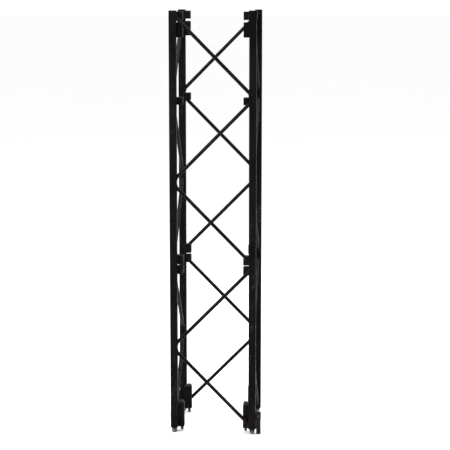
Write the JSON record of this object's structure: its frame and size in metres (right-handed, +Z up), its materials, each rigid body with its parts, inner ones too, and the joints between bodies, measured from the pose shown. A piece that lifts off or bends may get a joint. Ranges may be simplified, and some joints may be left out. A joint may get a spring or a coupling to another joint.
{
  "type": "lighting truss section",
  "caption": "Upright black box truss section: square tube chords joined by zigzag rod lacing, with corner lugs, foot spigots, captive bolts and swing clasps for stacking.",
  "frame": {"origin": "on the floor at the centre of the four chords, at the tips of the foot spigots", "axes": "+Z up along the truss, -Y towards the viewer's side of the picture, +X to its right"},
  "size_m": [0.342, 0.305, 1.503],
  "materials": {
    "black_paint": "satin black powder coat, rubbed along the edges",
    "clasp_paint": "worn dark brown-black coat",
    "zinc_plate": "dark aged zinc plate",
    "spigot_steel": "turned steel, blackened, rubbed bright on the nose"
  },
  "bodies": {
    "truss": {"chord_front_left": "black_paint", "foot_sleeve_front_left": "black_paint", "spigot_front_left": "spigot_steel", "socket_front_left": "spigot_steel", "chord_front_right": "black_paint", "foot_sleeve_front_right": "black_paint", "spigot_front_right": "spigot_steel", "socket_front_right": "spigot_steel", "chord_back_right": "black_paint", "foot_sleeve_back_right": "black_paint", "spigot_back_right": "spigot_steel", "socket_back_right": "spigot_steel", "chord_back_left": "black_paint", "foot_sleeve_back_left": "black_paint", "spigot_back_left": "spigot_steel", "socket_back_left": "spigot_steel", "front_rod_1": "black_paint", "front_rod_2": "black_paint", "front_rod_3": "black_paint", "front_rod_4": "black_paint", "front_rod_5": "black_paint", "right_rod_1": "black_paint", "right_rod_2": "black_paint", "right_rod_3": "black_paint", "right_rod_4": "black_paint", "right_rod_5": "black_paint", "back_rod_1": "black_paint", "back_rod_2": "black_paint", "back_rod_3": "black_paint", "back_rod_4": "black_paint", "back_rod_5": "black_paint", "left_rod_1": "black_paint", "left_rod_2": "black_paint", "left_rod_3": "black_paint", "left_rod_4": "black_paint", "left_rod_5": "black_paint", "top_lugs": "black_paint", "top_sleeves": "black_paint", "upper_lugs": "black_paint", "centre_upper_lugs": "black_paint", "centre_lower_lugs": "black_paint", "thread_inserts": "zinc_plate", "clasp_brackets": "clasp_paint", "keepers": "clasp_paint", "clasp_pins": "zinc_plate"},
    "bolt_front_left": {"bolt_front_left": "zinc_plate", "ring_front_left": "zinc_plate"},
    "bolt_front_right": {"bolt_front_right": "zinc_plate", "ring_front_right": "zinc_plate"},
    "bolt_back_right": {"bolt_back_right": "zinc_plate", "ring_back_right": "zinc_plate"},
    "bolt_back_left": {"bolt_back_left": "zinc_plate", "ring_back_left": "zinc_plate"},
    "clasp_right": {"clasp_arm_right": "clasp_paint"},
    "clasp_left": {"clasp_arm_left": "clasp_paint"}
  },
  "joints": [
    {"name": "front_left_bolt_slide", "type": "slide", "parent": "truss", "child": "bolt_front_left", "axis": [0, 0, 1], "range_m": [0, 0.022]},
    {"name": "front_right_bolt_slide", "type": "slide", "parent": "truss", "child": "bolt_front_right", "axis": [0, 0, 1], "range_m": [0, 0.022]},
    {"name": "back_right_bolt_slide", "type": "slide", "parent": "truss", "child": "bolt_back_right", "axis": [0, 0, 1], "range_m": [0, 0.022]},
    {"name": "back_left_bolt_slide", "type": "slide", "parent": "truss", "child": "bolt_back_left", "axis": [0, 0, 1], "range_m": [0, 0.022]},
    {"name": "right_clasp_swing", "type": "hinge", "parent": "truss", "child": "clasp_right", "pos_m": [0.1628, -0.1398, 0.066], "axis": [0, -1, 0], "range_deg": [0, 120]},
    {"name": "left_clasp_swing", "type": "hinge", "parent": "truss", "child": "clasp_left", "pos_m": [-0.1628, 0.1398, 0.066], "axis": [0, 1, 0], "range_deg": [0, 120]}
  ]
}
